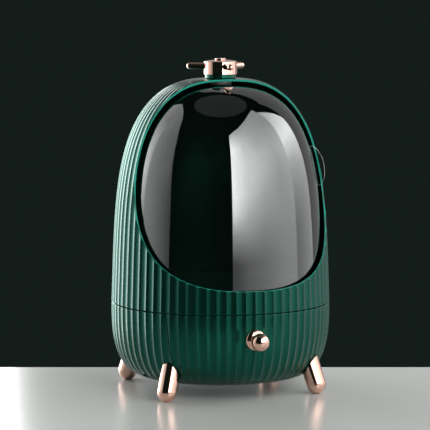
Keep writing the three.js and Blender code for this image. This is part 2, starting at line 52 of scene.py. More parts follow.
# Body, read from the frame. Its axis stands at x = 0.
shell_low, shell_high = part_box("upper_shell")
base_low, base_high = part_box("base_shell")
visor_low, visor_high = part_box("visor_dome")
body_radius = (shell_high.x - shell_low.x) / 2
axis_y = (shell_high.y + shell_low.y) / 2
crown_z = shell_high.z
seam_z = base_high.z
shell_foot_z = shell_low.z
underside_z = base_low.z
visor_inset = crown_z - visor_high.z
visor_foot_z = visor_low.z

# Fits between parts, and what the tools need to cut cleanly
gap = 0.3 * mm
running_gap = 0.8 * mm
overrun = 8 * mm
weld = 0.001 * mm
new_cube = 1     # side of a cube before it's scaled

# Body, the sizes that a box doesn't give
crown_seat_radius = 20 * mm
underside_inset = 53 * mm
dome_width_power = 2.2
dome_height_power = 4.13
dome_taper_share = 0.079
dome_ease = 1.7
bowl_power = 2.9
wall = 2.5 * mm
seam_edge = 1 * mm
seam_rebate_height = 0.8 * mm
seam_rebate_depth = 1.2 * mm
flute_count = 72
flute_depth = 1.5 * mm
flute_columns = 8
rim_edge = 0.4 * mm
rim_weld = rim_edge / 3
ridge_round_share = 0.04
dome_rows = 42
bowl_rows = 26
inner_steps = 144     # round the smooth insides

# Opening in the upper shell, seen from the side
opening_sill_z = seam_z + 26.9 * mm
opening_setback = 27.6 * mm
opening_width_power = 1.353
opening_height_power = 3.96
opening_ease = 1.5
opening_rows = 48

# Visor and its finger tab
visor_thickness = 2 * mm
visor_hub_radius = 24 * mm
visor_tab_edge = 80     # azimuths of its two upright edges
visor_far_edge = -82
visor_edge_round = 0.5 * mm
visor_steps = 360     # a column each degree
tab_drop = 104.2 * mm
tab_half_length = 24.2 * mm
tab_reach = 12.3 * mm
tab_thickness = 2.6 * mm
tab_edge_round = 0.6 * mm
tab_steps = 96
tab_side_share = 0.8     # a face that looks this much to the side is one of its two flat ones

# Cavity floor, and the screws that hold the casings to it
deck_z = seam_z + 11 * mm
deck_thickness = 3 * mm
track_rise = 8 * mm
track_thickness = 2.5 * mm
brim_thickness = 2 * mm
deck_edge = 0.5 * mm
screw_radius = 1.5 * mm
screw_head_radius = 2.8 * mm
screw_head_height = 2 * mm
screw_skin = 1 * mm
lug_azimuths = [35, 120, 240, 325]
post_radius = 6 * mm
post_inset = 23 * mm
post_azimuths = [72, 155, 205, 288]
post_drop = 11 * mm
post_web = 6 * mm
post_bore_radius = 3.6 * mm
boss_hole_depth = 13 * mm
hole_sides = 24
corners = ["front_right", "back_right", "back_left", "front_left"]

# Cross recesses and threads of the screws
recess_width_share = 0.28
recess_half_length_share = 0.6
recess_depth_share = 0.55
head_power = 2.4
thread_pitch = 1.25 * mm
thread_root_share = 0.82

# Pivot on the upright axis and the star handle over it
pivot_radius = 3 * mm
pivot_head_height = 3.5 * mm
bolt_chamfer = 0.6 * mm
bolt_thread_run = 0.6 * mm
spacer_edge = 0.5 * mm
washer_edge = 0.3 * mm
hexagon_edge = 0.4 * mm
collar_edge = 0.6 * mm
hub_dome_rise = 1.8 * mm
hub_dome_power = 1.5
hub_recess_radius = 6 * mm
hub_web = 10 * mm
hub_edge = 0.7 * mm
arm_azimuths = {"front": 0, "right": 120, "left": 240}
arm_socket_depth = 4.5 * mm
cap_stem_length = 2 * mm
cap_edge = 0.5 * mm

# Drawer
front_foot_x = 91.7 * mm
front_top_outset = 3.3 * mm
front_bend_z = 62 * mm
front_bend_inset = 0.4 * mm
front_corner_inset = 10.2 * mm
front_sill_inset = 26.7 * mm
front_sill_z = 22 * mm
joint_line = 0.5 * mm
tray_side_inset = 19.7 * mm
tray_lift = 6 * mm
tray_back_inset = 60 * mm
tray_top_drop = 13 * mm
tray_wall = 2 * mm
tray_edge = 0.5 * mm
runner_end_gap = 8 * mm
runner_ledge = 9 * mm
runner_thickness = 2.4 * mm
runner_lip_height = 14 * mm
runner_peg_radius = 1.2 * mm
runner_edge = 0.4 * mm

# Drawer knob
knob_drop = 28.6 * mm
flange_thickness = 5 * mm
flange_skirt = 4 * mm
flange_slope_width = 7.2 * mm
flange_edge = 0.3 * mm
knob_neck_radius = 4 * mm
knob_socket_depth = 6 * mm
knob_screw_radius = 2 * mm
knob_screw_head_radius = 4 * mm
knob_screw_head_height = 2.6 * mm
knob_screw_length = 15 * mm

# Legs
leg_azimuths = [48, 132, 228, 312]
leg_radius = 11.5 * mm
leg_inset = 6.6 * mm
leg_tilt = math.radians(19)
leg_length = 52 * mm
foot_flat = 0.6 * mm
leg_screw_length = 21 * mm
leg_boss_radius = 7 * mm
leg_boss_seat = 34 * mm


# Profiles


def quadrant(width, height, steps, width_power=2, height_power=2, ease=1):
    """Quarter of a superellipse, from (width, 0) round to (0, height). Powers of 2 make it an ellipse.

    With an ease above 1 its points lie closer at the start.
    """
    points = []
    for i in range(steps + 1):
        turn = (i / steps) ** ease * math.pi / 2
        across = 0 if i == steps else math.cos(turn) ** (2 / width_power)
        points.append((width * across, height * math.sin(turn) ** (2 / height_power)))
    return points


def dome_profile(inset):
    """(radius, height) of the dome from the seam up, moved inwards by the inset."""
    width = body_radius - inset - crown_seat_radius
    rise = crown_z - inset - seam_z
    profile = []
    for across, up in quadrant(width, rise, dome_rows, dome_width_power, dome_height_power, dome_ease):
        taper = 1 - dome_taper_share * up / rise
        profile.append((crown_seat_radius + across * taper, seam_z + up))
    return profile


def bowl_profile(inset):
    """(radius, height) of the bowl from its underside up to the seam."""
    flat = body_radius - underside_inset
    fall = seam_z - underside_z - inset
    curve = quadrant(underside_inset - inset, fall, bowl_rows, bowl_power, bowl_power)
    return [(flat + across, seam_z - down) for across, down in reversed(curve)]


def radius_at(profile, height):
    """Radius of a profile, listed from the bottom up, at one height."""
    for (low_radius, low), (high_radius, high) in zip(profile, profile[1:]):
        if high > height:
            return low_radius + (high_radius - low_radius) * (height - low) / (high - low)
    return profile[-1][0]


def height_at(profile, radius):
    """Height of a profile that narrows upwards, at one radius."""
    for (low_radius, low), (high_radius, high) in zip(profile, profile[1:]):
        if high_radius < radius:
            return low + (high - low) * (low_radius - radius) / (low_radius - high_radius)
    return profile[-1][1]


# Modelling, as by hand


def pick(piece):
    """Selects this piece alone and makes it the active one."""
    bpy.ops.object.select_all(action="DESELECT")
    piece.select_set(True)
    bpy.context.view_layer.objects.active = piece


def new_object(name, data):
    """An object for a mesh, a lamp or the camera, in the scene."""
    item = bpy.data.objects.new(name, data)
    bpy.context.scene.collection.objects.link(item)
    return item


def drawn(name, points, closed=False):
    """A piece that is only an outline, through points (x, y, z)."""
    mesh = bpy.data.meshes.new(name)
    lines = [(i, i + 1) for i in range(len(points) - 1)]
    if closed:
        lines.append((len(points) - 1, 0))
    mesh.from_pydata(points, lines, [])
    return new_object(name, mesh)


def edit(piece, select="SELECT"):
    """Opens a piece in edit mode with all of it selected, or with DESELECT none of it."""
    pick(piece)
    bpy.ops.object.mode_set(mode="EDIT")
    bpy.ops.mesh.select_mode(type="VERT")
    bpy.ops.mesh.select_all(action=select)


def done():
    bpy.ops.object.mode_set(mode="OBJECT")


def face_outwards():
    """Turns the faces of the piece in edit mode outwards, and leaves edit mode."""
    bpy.ops.mesh.select_all(action="SELECT")
    bpy.ops.mesh.normals_make_consistent(inside=False)
    done()


def lathe(name, outline, steps=96, closed=False):
    """An outline of (radius, height) pairs, spun all round the upright axis."""
    piece = drawn(name, [(radius, 0, height) for radius, height in outline], closed)
    edit(piece)
    bpy.ops.mesh.spin(steps=steps, angle=math.tau, center=(0, 0, 0), axis=(0, 0, 1))
    bpy.ops.mesh.select_all(action="SELECT")
    bpy.ops.mesh.remove_doubles(threshold=weld)
    face_outwards()
    return piece


def prism(name, outline, thickness):
    """A closed outline of (x, y, z) points, filled and extruded by a vector."""
    piece = drawn(name, outline, closed=True)
    edit(piece)
    bpy.ops.mesh.edge_face_add()
    bpy.ops.mesh.extrude_region_move(TRANSFORM_OT_translate={"value": thickness})
    face_outwards()
    return piece


def place(piece):
    """Puts the object's own place, turn and size into its mesh."""
    pick(piece)
    bpy.ops.object.transform_apply(location=True, rotation=True, scale=True)


def named(name):
    """Names the primitive that was just added, and fixes its place."""
    piece = bpy.context.object
    piece.name = name
    place(piece)
    return piece


def rod(name, radius, bottom, top, sides=48):
    """An upright round rod on the axis."""
    middle = (0, 0, (bottom + top) / 2)
    bpy.ops.mesh.primitive_cylinder_add(vertices=sides, radius=radius, depth=top - bottom, location=middle)
    return named(name)


def block(name, low, high):
    """A plain block between two corners, to cut with or to shape further."""
    middle = [(a + b) / 2 for a, b in zip(low, high)]
    bpy.ops.mesh.primitive_cube_add(size=new_cube, location=middle)
    bpy.context.object.scale = [b - a for a, b in zip(low, high)]
    return named(name)


def moved(piece, offset=(0, 0, 0), tilt=0, azimuth=0):
    """Tilts a piece about X, moves it, and turns it about the upright axis, in that order."""
    turn = Matrix.Rotation(azimuth, 4, "Z")
    piece.matrix_world = turn @ Matrix.Translation(offset) @ Matrix.Rotation(tilt, 4, "X")
    place(piece)
    return piece


def copy_of(piece, name):
    """A copy with a mesh of its own."""
    twin = piece.copy()
    twin.data = piece.data.copy()
    twin.name = name
    bpy.context.scene.collection.objects.link(twin)
    return twin


def apply(piece, kind, **settings):
    """Adds a modifier, sets it and applies it."""
    pick(piece)
    modifier = piece.modifiers.new(kind, kind)
    for setting, value in settings.items():
        setattr(modifier, setting, value)
    bpy.ops.object.modifier_apply(modifier=modifier.name)


def boolean(piece, tool, operation):
    """Cuts, joins or meets a piece with a tool, and throws the tool away."""
    apply(piece, "BOOLEAN", operation=operation, object=tool, solver="EXACT")
    bpy.data.objects.remove(tool)


def join(piece, *others):
    """Puts pieces that don't touch each other into one object."""
    bpy.ops.object.select_all(action="DESELECT")
    for other in others:
        other.select_set(True)
    piece.select_set(True)
    bpy.context.view_layer.objects.active = piece
    bpy.ops.object.join()
    return piece


def around(piece, radius, azimuths):
    """Copies of a piece at one distance from the axis, as one object."""
    copies = []
    for azimuth in azimuths:
        twin = copy_of(piece, piece.name)
        copies.append(moved(twin, offset=(0, -radius, 0), azimuth=math.radians(azimuth)))
    bpy.data.objects.remove(piece)
    return join(*copies)


def bevel(piece, width, segments=2, above=35, clamp=True):
    """Rounds every edge that bends by more than an angle in degrees."""
    limit = math.radians(above)
    apply(piece, "BEVEL", width=width, segments=segments, limit_method="ANGLE", angle_limit=limit,
          use_clamp_overlap=clamp)


def sort_points():
    """Sorts the mesh in edit mode by its distance from a point off the body's planes of symmetry.

    An exact cut leaves its points in another order each run, and a weld goes by their order.
    """
    bpy.context.scene.cursor.location = (body_radius, overrun, 0)
    bpy.ops.mesh.sort_elements(type="CURSOR_DISTANCE", elements={"VERT", "EDGE", "FACE"})


def screw_hole(radius, bottom, top):
    """An upright tool on the axis that cuts a hole for a screw, with its play."""
    return rod("hole", radius + gap, bottom, top, hole_sides)


def press_flutes(piece):
    """Presses concave flutes between upright ridges into a turned form. They shrink with its radius."""
    slack_share = 0.000001     # a column on a ridge counts to the flute after it
    pitch = math.tau / flute_count
    for vertex in piece.data.vertices:
        x, y, _ = vertex.co
        radius = math.hypot(x, y)
        if radius < weld:
            continue
        turn = math.atan2(x, -y) / pitch
        flute = math.floor(turn + slack_share)
        share = min(max(turn - flute, 0), 1)
        share -= math.sin(math.tau * share) / (2 * math.tau)
        hollow = max(4 * share * (1 - share), ridge_round_share)
        radius *= 1 - hollow * flute_depth / body_radius
        azimuth = (flute + share) * pitch
        vertex.co.x = radius * math.sin(azimuth)
        vertex.co.y = -radius * math.cos(azimuth)
    piece.data.update()


def finish(piece, material, body, node, smooth=40):
    """Moves a piece to the body's axis, dresses it and ties it to the frame.

    Edges that bend by more than the smooth angle, in degrees, stay sharp.
    """
    moved(piece, offset=(0, axis_y, 0))
    piece.data.materials.clear()
    piece.data.materials.append(material)
    pick(piece)
    bpy.ops.object.shade_smooth_by_angle(angle=math.radians(smooth))
    apply(piece, "WEIGHTED_NORMAL", keep_sharp=True)
    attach(piece, body)
    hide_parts(node)


# Materials


mixed = 2     # the colour among a Mix node's outputs, which share one name
bump_height = 0.05 * mm


def linear(hex_colour):
    """An sRGB hex colour as linear RGBA."""
    channels = [int(hex_colour[i:i + 2], 16) / 255 for i in (1, 3, 5)]
    return [c / 12.92 if c <= 0.04045 else ((c + 0.055) / 1.055) ** 2.4 for c in channels] + [1]


def add(tree, kind, settings=None, links=None):
    """Adds a node, sets its inputs or properties, and links its inputs from sockets.

    Inputs go by their identifiers, because the inputs of a Mix or Math node share their names.
    """
    node = tree.nodes.new(kind)
    inputs = {socket.identifier: socket for socket in node.inputs}
    for name, value in (settings or {}).items():
        if name in inputs:
            inputs[name].default_value = value
        else:
            setattr(node, name, value)
    for name, socket in (links or {}).items():
        tree.links.new(socket, inputs[name])
    return node


def new_material(name):
    """A material without a surface yet, its node tree and the socket that gives the place on the piece."""
    material = bpy.data.materials.new(name)
    material.use_nodes = True
    tree = material.node_tree
    tree.nodes.clear()
    return material, tree, add(tree, "ShaderNodeTexCoord").outputs["Object"]


def moulded_plastic(name, colour, deep_colour, sheen_tint, ior, roughness):
    """Plastic moulded in a fine-blasted tool: satin, its pigment tinting the soft highlights.

    The flow of the melt clouds the colour a little, and the blasted grain breaks up the gloss.
    """
    grain_size = 0.5 * mm     # the real grain is about 0.1 mm, too fine to show
    flow_size = 45 * mm
    roughness_spread = 0.03
    material, tree, place_on = new_material(name)
    flow = add(tree, "ShaderNodeTexNoise", {"Scale": 1 / flow_size, "Detail": 2}, {"Vector": place_on})
    grain = add(tree, "ShaderNodeTexNoise", {"Scale": 1 / grain_size, "Detail": 3}, {"Vector": place_on})
    colours = {"data_type": "RGBA", "A_Color": linear(deep_colour), "B_Color": linear(colour)}
    tint = add(tree, "ShaderNodeMix", colours, {"Factor_Float": flow.outputs["Fac"]})
    limits = {"To Min": roughness - roughness_spread, "To Max": roughness + roughness_spread}
    rough = add(tree, "ShaderNodeMapRange", limits, {"Value": grain.outputs["Fac"]})
    relief = {"Strength": 0.05, "Distance": bump_height}
    bump = add(tree, "ShaderNodeBump", relief, {"Height": grain.outputs["Fac"]})
    shader = add(tree, "ShaderNodeBsdfPrincipled", {"IOR": ior, "Specular Tint": linear(sheen_tint)}, {
        "Base Color": tint.outputs[mixed],
        "Roughness": rough.outputs["Result"],
        "Normal": bump.outputs["Normal"],
    })
    add(tree, "ShaderNodeOutputMaterial", links={"Surface": shader.outputs["BSDF"]})
    return material


def polished_acrylic(name, tint, ior, roughness):
    """Acrylic, moulded and polished: glass-clear, with the tint of its dye and mirror-sharp reflections."""
    haze_size = 30 * mm
    material, tree, place_on = new_material(name)
    haze = add(tree, "ShaderNodeTexNoise", {"Scale": 1 / haze_size, "Detail": 2}, {"Vector": place_on})
    limits = {"To Min": roughness / 2, "To Max": roughness}
    rough = add(tree, "ShaderNodeMapRange", limits, {"Value": haze.outputs["Fac"]})
    glass = {"Base Color": linear(tint), "IOR": ior, "Transmission Weight": 1}
    shader = add(tree, "ShaderNodeBsdfPrincipled", glass, {"Roughness": rough.outputs["Result"]})
    each_face_tint = [math.sqrt(channel) for channel in linear(tint)]     # a shadow ray passes two faces
    shadow = add(tree, "ShaderNodeBsdfTransparent", {"Color": each_face_tint})
    mix = add(tree, "ShaderNodeMixShader", links={
        "Fac": add(tree, "ShaderNodeLightPath").outputs["Is Shadow Ray"],
        "Shader": shader.outputs["BSDF"],
        "Shader_001": shadow.outputs["BSDF"],
    })
    add(tree, "ShaderNodeOutputMaterial", links={"Surface": mix.outputs["Shader"]})
    return material


def sawn_acrylic(name, colour, deep_colour):
    """The sawn edge of clear acrylic: it glows pale, because the sheet leads light to it."""
    saw_mark_size = 0.8 * mm
    material, tree, place_on = new_material(name)
    marks = add(tree, "ShaderNodeTexNoise", {"Scale": 1 / saw_mark_size, "Detail": 2}, {"Vector": place_on})
    colours = {"data_type": "RGBA", "A_Color": linear(deep_colour), "B_Color": linear(colour)}
    tint = add(tree, "ShaderNodeMix", colours, {"Factor_Float": marks.outputs["Fac"]})
    relief = {"Strength": 0.2, "Distance": bump_height}
    bump = add(tree, "ShaderNodeBump", relief, {"Height": marks.outputs["Fac"]})
    shader = add(tree, "ShaderNodeBsdfPrincipled", {"IOR": 1.49, "Roughness": 0.3}, {
        "Base Color": tint.outputs[mixed],
        "Normal": bump.outputs["Normal"],
    })
    add(tree, "ShaderNodeOutputMaterial", links={"Surface": shader.outputs["BSDF"]})
    return material


def plated_metal(name, colour, deep_colour, roughness, wear_size):
    """Zinc casting or steel with a plated skin: a mirror with a faint cloud of wear in its polish."""
    least_share = 0.7
    most_share = 1.3
    material, tree, place_on = new_material(name)
    wear = add(tree, "ShaderNodeTexNoise", {"Scale": 1 / wear_size, "Detail": 4}, {"Vector": place_on})
    colours = {"data_type": "RGBA", "A_Color": linear(deep_colour), "B_Color": linear(colour)}
    tint = add(tree, "ShaderNodeMix", colours, {"Factor_Float": wear.outputs["Fac"]})
    limits = {"To Min": roughness * least_share, "To Max": roughness * most_share}
    rough = add(tree, "ShaderNodeMapRange", limits, {"Value": wear.outputs["Fac"]})
    shader = add(tree, "ShaderNodeBsdfPrincipled", {"Metallic": 1}, {
        "Base Color": tint.outputs[mixed],
        "Roughness": rough.outputs["Result"],
    })
    add(tree, "ShaderNodeOutputMaterial", links={"Surface": shader.outputs["BSDF"]})
    return material


# Casings: deep green with teal highlights, stronger than bare ABS gives. The rim's paler green is a painted
# highlight.
green_abs = moulded_plastic("green satin ABS", "#08281f", "#06231b", "#4ae0c2", 1.8, 0.18)
# Paler green for the rim faces: a painted highlight along the opening's edge
painted_highlight_rim_abs = moulded_plastic("green ABS rim with painted highlight", "#1d6f61", "#196456", "#4ae0c2", 1.8, 0.18)

# Inside: matt plastics that take the light without a mirror image
inner_abs = moulded_plastic("dark green matt ABS", "#123f36", "#103a31", "#7fd0ba", 1.54, 0.4)
grey_nylon = moulded_plastic("grey moulded nylon", "#8b908e", "#7f8482", "#ffffff", 1.53, 0.4)

# Visor: hard-coated, so it mirrors more than the bare acrylic of its tab
smoke_acrylic = polished_acrylic("smoke acrylic", "#a4aba8", 2.0, 0.02)
clear_acrylic = polished_acrylic("clear acrylic", "#eef4f3", 1.49, 0.02)
acrylic_edge = sawn_acrylic("sawn acrylic edge", "#e6efeb", "#cfdad6")

# Metal: a warm pink mirror outside, and dull grey fasteners with fine spangles
polish_cloud_size = 25 * mm
spangle_size = 1.5 * mm
rose_gold = plated_metal("rose gold plated zinc", "#efc4b4", "#eabba9", 0.05, polish_cloud_size)
zinc_steel = plated_metal("zinc plated steel", "#a9acac", "#8f9292", 0.3, spangle_size)


# Upper shell


track_top_z = deck_z + track_rise
track_radius = radius_at(dome_profile(visor_inset + visor_thickness), track_top_z) - running_gap
brim_z = seam_z + gap
brim_top_z = brim_z + brim_thickness
brim_radius = radius_at(dome_profile(wall), brim_top_z) - gap
lug_radius = (brim_radius - track_radius - gap) / 2
lug_circle_radius = brim_radius - lug_radius
lug_top_z = visor_foot_z - running_gap


def opening_curve():
    """(y, height) along the opening's side outline, from its sill up and back to the crown."""
    width = body_radius - opening_setback
    drop = crown_z - opening_sill_z
    curve = quadrant(width, drop, opening_rows, opening_width_power, opening_height_power, opening_ease)
    return [(across - body_radius, crown_z - down) for across, down in reversed(curve)]


def opening_tool():
    """Side outline of the opening, from which the tool is extruded across the whole body."""
    reach = body_radius + overrun
    outline = [(-reach, -reach, opening_sill_z)]
    outline += [(-reach, y, z) for y, z in opening_curve()]
    outline += [(-reach, -opening_setback, crown_z + overrun), (-reach, -reach, crown_z + overrun)]
    return prism("opening", outline, (2 * reach, 0, 0))


def screw_lugs():
    """Lugs inside the shell's foot, each with the web that ties it to the wall."""
    web_low = (-lug_radius, -body_radius + wall / 2, brim_top_z + gap)
    web = block("lug", web_low, (lug_radius, -lug_circle_radius, lug_top_z))
    tip = rod("lug_round", lug_radius, brim_top_z + gap, lug_top_z)
    boolean(web, moved(tip, offset=(0, -lug_circle_radius, 0)), "UNION")
    return around(web, 0, lug_azimuths)


def paint_rim_highlight(shell):
    """Gives the faces that lie on the opening's side outline, its rounded rim, a paler green: a painted
    highlight.
    """
    shell.data.materials.append(painted_highlight_rim_abs)
    curve = opening_curve()
    sides = list(zip(curve, curve[1:]))
    for face in shell.data.polygons:
        from_side = Vector((face.center.y - axis_y, face.center.z))
        if from_side.x > -opening_setback + rim_edge or from_side.y < opening_sill_z - rim_edge:
            continue
        for start, end in sides:
            near, share = intersect_point_line(from_side, start, end)
            if 0 <= share <= 1 and (near.xy - from_side).length < rim_edge:
                face.material_index = 1
                break


def upper_shell():
    """Fluted dome with the opening cut through it. Its stepped foot leaves a dark line over the seam."""
    rebate_radius = body_radius - seam_rebate_depth
    rebate_top_z = shell_foot_z + seam_rebate_height
    above = [point for point in dome_profile(0) if point[1] > rebate_top_z]
    outline = [(0, shell_foot_z), (rebate_radius, shell_foot_z), (rebate_radius, rebate_top_z)]
    outline += [(body_radius, rebate_top_z), *above, (0, crown_z)]
    shell = lathe("fluted_upper_shell", outline, flute_count * flute_columns)
    press_flutes(shell)
    core_foot = shell_foot_z - overrun
    core_outline = [(0, core_foot), (body_radius - wall, core_foot), *dome_profile(wall), (0, crown_z - wall)]
    boolean(shell, lathe("core", core_outline, inner_steps), "DIFFERENCE")
    boolean(shell, opening_tool(), "DIFFERENCE")
    edit(shell)
    sort_points()
    bpy.ops.mesh.remove_doubles(threshold=rim_weld)
    done()
    bevel(shell, rim_edge, above=60, clamp=False)
    boolean(shell, screw_lugs(), "UNION")
    hole = screw_hole(screw_radius, brim_z, lug_top_z - screw_skin)
    holes = around(hole, lug_circle_radius, lug_azimuths)
    bore = rod("bore", pivot_radius + gap, crown_z - wall - overrun, crown_z + overrun)
    boolean(shell, join(holes, bore), "DIFFERENCE")
    finish(shell, green_abs, "housing", "upper_shell", smooth=20)
    # Paints the highlight on the rim as a paler green
    paint_rim_highlight(shell)


# Cavity floor


post_z = seam_z - post_drop
post_seat_z = post_z - post_web
post_circle_radius = body_radius - post_inset


def cavity_floor():
    """Dished floor with the visor's track round it, and a brim between the two casings."""
    inner = track_radius - track_thickness
    floor_z = deck_z - deck_thickness
    outline = [
        (0, floor_z),
        (inner, floor_z),
        (inner, brim_z),
        (brim_radius, brim_z),
        (brim_radius, brim_top_z),
        (track_radius, brim_top_z),
        (track_radius, track_top_z),
        (inner, track_top_z),
        (inner, deck_z),
        (0, deck_z),
    ]
    floor = lathe("cavity_floor", outline, inner_steps)
    bevel(floor, deck_edge)
    boss = rod("boss", post_radius, post_z + gap, deck_z - deck_thickness / 2)
    boolean(floor, around(boss, post_circle_radius, post_azimuths), "UNION")
    hole = screw_hole(screw_radius, post_z - overrun, post_seat_z + boss_hole_depth)
    boolean(floor, around(hole, post_circle_radius, post_azimuths), "DIFFERENCE")
    lug_hole = screw_hole(screw_radius, brim_z - overrun, brim_top_z + gap)
    boolean(floor, around(lug_hole, lug_circle_radius, lug_azimuths), "DIFFERENCE")
    finish(floor, inner_abs, "housing", "track_deck")


# Lower housing and drawer front


knob_z = seam_z - knob_drop
tray_floor_z = front_sill_z + tray_lift
tray_half_width = front_foot_x - tray_side_inset
tray_back = body_radius - tray_back_inset
runner_half_length = tray_back - runner_end_gap


def front_outline(clearance):
    """Outline of the drawer front in the plane of the axis, drawn in by the clearance.

    Its lower corners are quadratic curves from the level sill up to the bend in the side edge.
    """
    corner_steps = 24
    reach = front_foot_x - clearance
    top = reach + front_top_outset
    bend = reach - front_bend_inset
    corner = reach - front_corner_inset
    level = front_foot_x - front_sill_inset
    sill = front_sill_z + clearance
    right = []
    for i in range(corner_steps + 1):
        t = i / corner_steps
        x = level * (1 - t) ** 2 + 2 * corner * t * (1 - t) + bend * t ** 2
        z = sill * (1 - t) ** 2 + 2 * sill * t * (1 - t) + front_bend_z * t ** 2
        right.append((x, 0, z))
    right += [(top, 0, seam_z), (top, 0, seam_z + overrun)]
    left = [(-x, y, z) for x, y, z in reversed(right)]
    return right + left


def front_tool(clearance):
    """The drawer front's outline, extruded forwards from the axis."""
    return prism("front_tool", front_outline(clearance), (0, -body_radius - overrun, 0))


def bowl_core(inset):
    """The space inside the bowl, drawn in from its outer form."""
    top = seam_z + overrun
    outline = [(0, underside_z + inset), *bowl_profile(inset), (body_radius - inset, top), (0, top)]
    return lathe("core", outline, inner_steps)


def bowl_wall(name):
    """Fluted bowl with its smooth inside, open at the top."""
    round_edge = quadrant(seam_edge, seam_edge, 4)
    rim = [(body_radius - seam_edge + across, seam_z - seam_edge + up) for across, up in round_edge]
    below = [point for point in bowl_profile(0) if point[1] < seam_z - seam_edge]
    bowl = lathe(name, [(0, underside_z), *below, *rim, (0, seam_z)], flute_count * flute_columns)
    press_flutes(bowl)
    boolean(bowl, bowl_core(wall), "DIFFERENCE")
    return bowl


def on_leg_axis(piece):
    """Tilts a piece drawn upwards from the foot's centre onto the axis of a leg at the front."""
    foot = (0, leg_inset - body_radius, leg_radius - foot_flat)
    return moved(piece, offset=foot, tilt=-leg_tilt)


def at_knob(piece):
    """Turns a piece drawn upwards on the axis to point forwards at the knob's height."""
    return moved(piece, offset=(0, 0, knob_z), tilt=math.pi / 2)


def knob_bore():
    return at_knob(screw_hole(knob_screw_radius, 0, body_radius + overrun))


def housing_fittings():
    """Screw posts and leg bosses that rise from the housing's floor and wall."""
    post = rod("post", post_radius, underside_z + wall / 2, post_z)
    boss = on_leg_axis(rod("boss", leg_boss_radius, 0, leg_boss_seat))
    fittings = join(around(post, post_circle_radius, post_azimuths), around(boss, 0, leg_azimuths))
    boolean(fittings, bowl_core(wall / 2), "INTERSECT")
    return fittings


def housing_holes():
    """Holes for the post screws, with wide bores up to their heads, and for the leg screws."""
    bore = rod("bore", post_bore_radius, underside_z - overrun, post_seat_z)
    bores = around(bore, post_circle_radius, post_azimuths)
    hole = screw_hole(screw_radius, post_seat_z - overrun, post_z + overrun)
    boolean(bores, around(hole, post_circle_radius, post_azimuths), "UNION")
    leg_hole = on_leg_axis(screw_hole(knob_screw_radius, 0, leg_boss_seat + overrun))
    return join(bores, around(leg_hole, 0, leg_azimuths))


def lower_housing():
    """The bowl's wall is cut in two along the drawer front's outline, so the flutes run on across it."""
    base = bowl_wall("fluted_base")
    front = copy_of(base, "drawer_face")
    boolean(base, housing_fittings(), "UNION")
    boolean(base, front_tool(0), "DIFFERENCE")
    boolean(base, housing_holes(), "DIFFERENCE")
    boolean(front, front_tool(joint_line), "INTERSECT")
    boolean(front, knob_bore(), "DIFFERENCE")
    finish(base, green_abs, "housing", "base_shell", smooth=20)
    finish(front, green_abs, "drawer", "drawer_front", smooth=20)


def tray_form(name, inset, bottom, top):
    """A block behind the drawer front that follows the inside of the bowl, drawn in by an inset."""
    low = (inset - tray_half_width, -body_radius, bottom)
    high = (tray_half_width - inset, tray_back - inset, top)
    form = block(name, low, high)
    boolean(form, bowl_core(wall + gap + inset), "INTERSECT")
    return form


def drawer_tray():
    tray_top_z = seam_z - tray_top_drop
    tray = tray_form("drawer_tray", 0, tray_floor_z, tray_top_z)
    hollow = tray_form("hollow", tray_wall, tray_floor_z + tray_wall, tray_top_z + overrun)
    boolean(tray, hollow, "DIFFERENCE")
    bevel(tray, tray_edge, above=50)
    boolean(tray, knob_bore(), "DIFFERENCE")
    finish(tray, inner_abs, "drawer", "drawer_tub")


def drawer_runner(side_name, side):
    """Rail on the housing's floor: the tray rests on its ledge and runs inside its lip."""
    inner = side * (tray_half_width - runner_ledge)
    lip = side * (tray_half_width + running_gap)
    outer = lip + side * runner_thickness
    ledge_z = tray_floor_z - gap
    outline = [
        (inner, underside_z),
        (outer, underside_z),
        (outer, ledge_z + runner_lip_height),
        (lip, ledge_z + runner_lip_height),
        (lip, ledge_z),
        (inner, ledge_z),
    ]
    points = [(x, -runner_half_length, z) for x, z in outline]
    rail = prism(f"tray_rail_{side_name}", points, (0, 2 * runner_half_length, 0))
    boolean(rail, bowl_core(wall + gap), "INTERSECT")
    bevel(rail, runner_edge, above=50)
    peg_x = side * (tray_half_width - runner_ledge / 2)
    peg_top_z = tray_floor_z - runner_thickness
    for end in (-1, 1):
        peg = rod("peg", runner_peg_radius, underside_z + wall / 2, peg_top_z, hole_sides)
        boolean(rail, moved(peg, offset=(peg_x, end * runner_half_length / 2, 0)), "UNION")
    finish(rail, grey_nylon, "housing", f"drawer_runner_{side_name}")


# Drawer knob


def bowl_form():
    """The bowl's outer form with a little play, to seat what stands on it."""
    envelope = [(0, underside_z - gap), *bowl_profile(-gap), (0, seam_z)]
    return lathe("body_form", envelope, inner_steps)


def knob_flange():
    """Disc on the drawer front that slopes up to its level face, with the neck for the ball."""
    flange_low, flange_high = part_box("knob_flange")
    flange_radius = (flange_high.x - flange_low.x) / 2
    seat = radius_at(bowl_profile(0), knob_z + flange_radius) + gap
    face = seat + flange_thickness
    neck_end = axis_y - flange_low.y
    slope = quadrant(flange_slope_width, flange_thickness - flange_edge, 10)
    level = flange_radius - flange_slope_width
    outline = [(0, seat - flange_skirt), (flange_radius, seat - flange_skirt)]
    outline += [(level + across, seat + flange_edge + up) for across, up in slope]
    outline += [(knob_neck_radius, face), (knob_neck_radius, neck_end), (0, neck_end)]
    flange = at_knob(lathe("knob_flange_disc", outline))
    boolean(flange, bowl_form(), "DIFFERENCE")
    finish(flange, rose_gold, "drawer", "knob_flange")


def knob_ball():
    """Ball with a socket in its back, in which the neck ends."""
    ball_low, ball_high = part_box("knob_ball")
    radius = (ball_high.x - ball_low.x) / 2
    distance = axis_y - ball_low.y - radius
    half = quadrant(radius, radius, 24)
    outline = [(across, distance - up) for across, up in reversed(half)]
    outline += [(across, distance + up) for across, up in half[1:]]
    ball = lathe("knob_ball_end", outline)
    back = distance - radius
    socket = rod("socket", knob_neck_radius + gap, back - overrun, back + knob_socket_depth)
    boolean(ball, socket, "DIFFERENCE")
    finish(at_knob(ball), rose_gold, "drawer", "knob_ball")


# Visor


